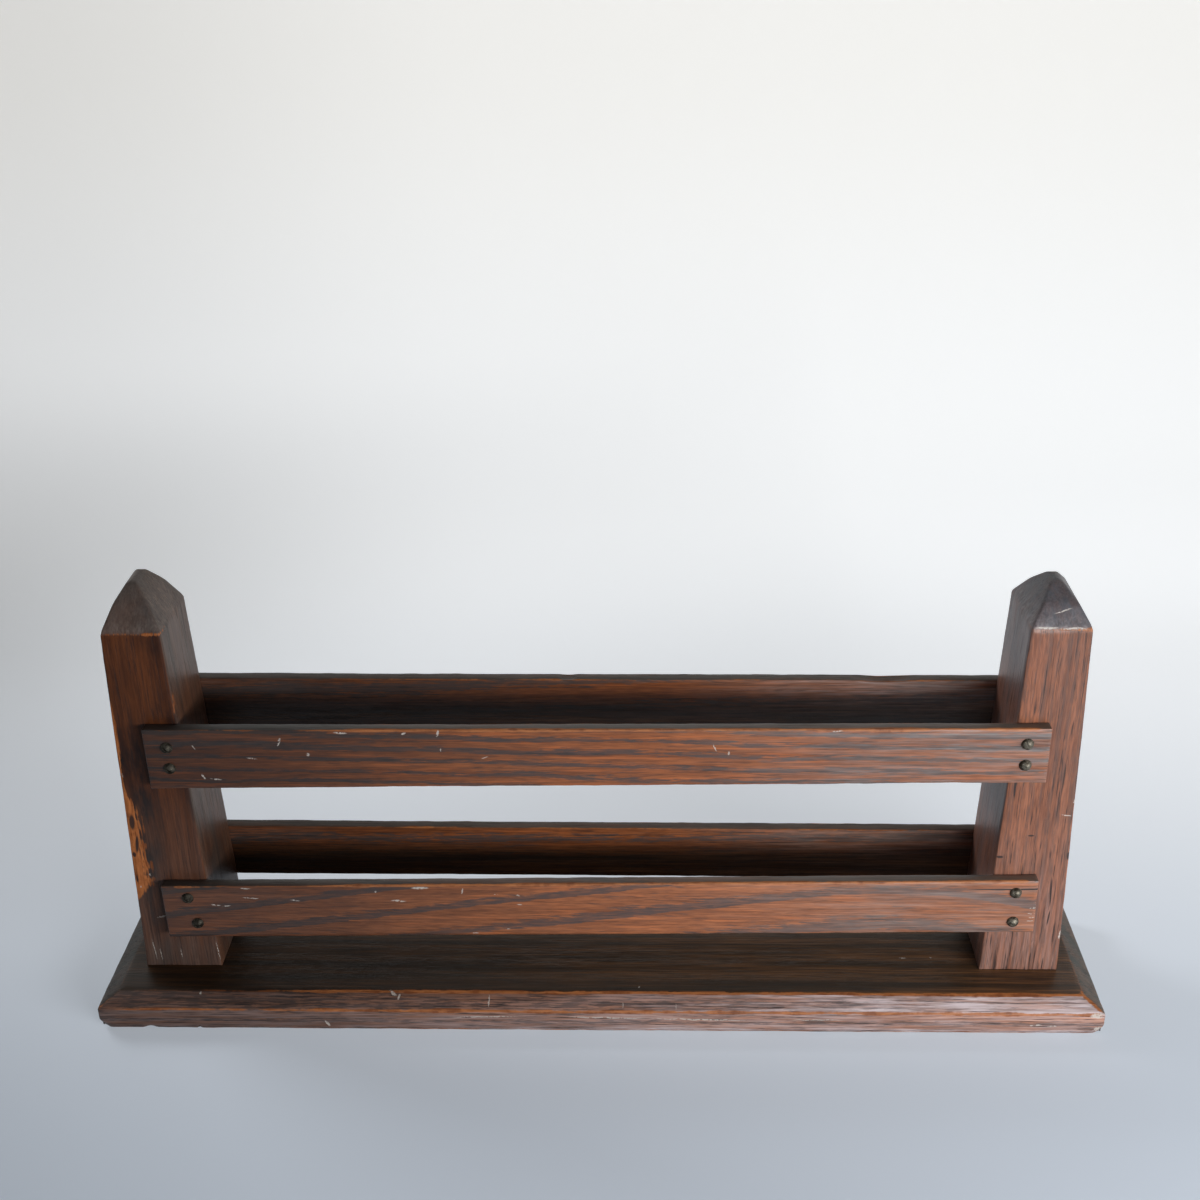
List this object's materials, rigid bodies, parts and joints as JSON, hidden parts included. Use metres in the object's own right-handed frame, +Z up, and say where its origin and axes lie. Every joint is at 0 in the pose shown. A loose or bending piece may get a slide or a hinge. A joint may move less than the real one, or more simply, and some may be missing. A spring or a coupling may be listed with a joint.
{
  "type": "book stand",
  "caption": "Dark oak book stand: chamfered base board, tapered posts with hipped tops, and front and back rails screwed across them to hold a row of books.",
  "frame": {"origin": "middle of the base board's underside", "axes": "+X along the length to the viewer's right, +Y from the front to the back, +Z up"},
  "size_m": [0.506, 0.09, 0.231],
  "materials": {
    "base_oak": "dark stained oak, worn satin",
    "post_oak": "dark stained oak, worn satin",
    "rail_oak": "dark stained oak, worn satin",
    "rail_screw_metal": "aged dark steel",
    "base_screw_steel": "aged plain steel"
  },
  "bodies": {
    "root": {"base_board": "base_oak", "left_post": "post_oak", "right_post": "post_oak", "front_upper_rail": "rail_oak", "front_lower_rail": "rail_oak", "back_upper_rail": "rail_oak", "back_lower_rail": "rail_oak", "front_upper_rail_screw_left_high": "rail_screw_metal", "front_upper_rail_screw_left_low": "rail_screw_metal", "front_upper_rail_screw_right_high": "rail_screw_metal", "front_upper_rail_screw_right_low": "rail_screw_metal", "front_lower_rail_screw_left_high": "rail_screw_metal", "front_lower_rail_screw_left_low": "rail_screw_metal", "front_lower_rail_screw_right_high": "rail_screw_metal", "front_lower_rail_screw_right_low": "rail_screw_metal", "back_upper_rail_screw_left_high": "rail_screw_metal", "back_upper_rail_screw_left_low": "rail_screw_metal", "back_upper_rail_screw_right_high": "rail_screw_metal", "back_upper_rail_screw_right_low": "rail_screw_metal", "back_lower_rail_screw_left_high": "rail_screw_metal", "back_lower_rail_screw_left_low": "rail_screw_metal", "back_lower_rail_screw_right_high": "rail_screw_metal", "back_lower_rail_screw_right_low": "rail_screw_metal", "left_post_screw_front": "base_screw_steel", "left_post_screw_back": "base_screw_steel", "right_post_screw_front": "base_screw_steel", "right_post_screw_back": "base_screw_steel"}
  },
  "joints": []
}
